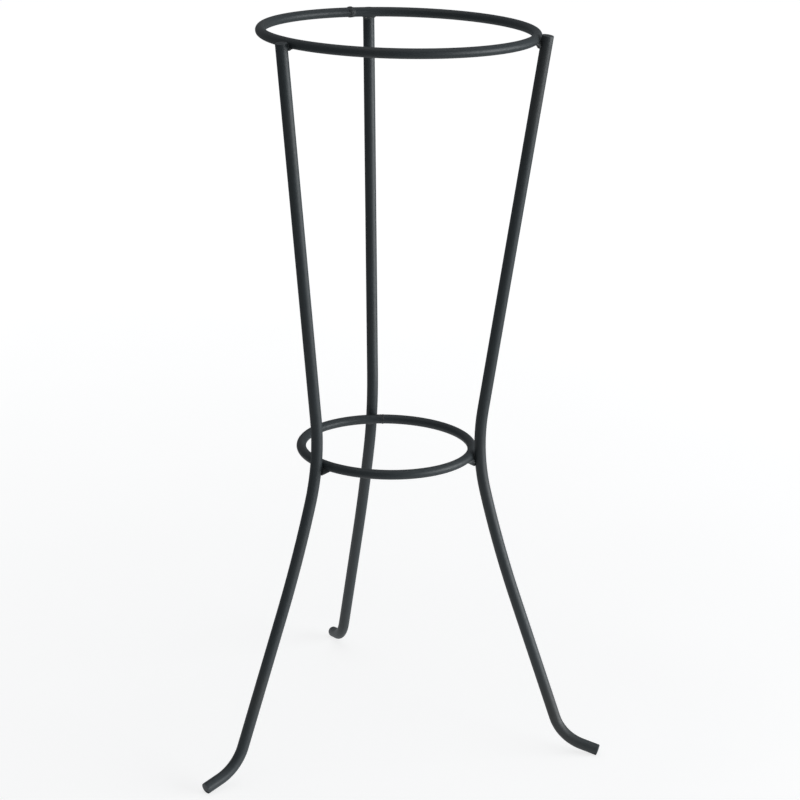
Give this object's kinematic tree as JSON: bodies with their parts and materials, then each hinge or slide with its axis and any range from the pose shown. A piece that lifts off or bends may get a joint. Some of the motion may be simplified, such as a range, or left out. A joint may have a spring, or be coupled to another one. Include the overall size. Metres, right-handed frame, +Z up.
{
  "type": "plant stand",
  "caption": "Welded tripod stand of round steel bar: two level rings held by bent legs with out-turned toes, for a pot, bucket or bowl.",
  "frame": {"origin": "on the floor, at the middle of the footprint's bounding box", "axes": "+Z up along the axis of the rings; +Y towards the back, where the rear leg is; +X towards the right leg, seen from the front"},
  "size_m": [0.4178, 0.4122, 0.7679],
  "materials": {
    "painted_bar": "satin anthracite paint over round steel bar",
    "painted_weld": "the same satin paint over lumpy weld bead"
  },
  "bodies": {
    "root": {"upper_ring": "painted_bar", "lower_ring": "painted_bar", "leg_rear": "painted_bar", "leg_left": "painted_bar", "leg_right": "painted_bar", "upper_ring_seam_weld": "painted_weld", "lower_ring_seam_weld": "painted_weld", "upper_rear_joint_weld": "painted_weld", "upper_left_joint_weld": "painted_weld", "upper_right_joint_weld": "painted_weld", "lower_rear_joint_weld": "painted_weld", "lower_left_joint_weld": "painted_weld", "lower_right_joint_weld": "painted_weld"}
  },
  "joints": []
}
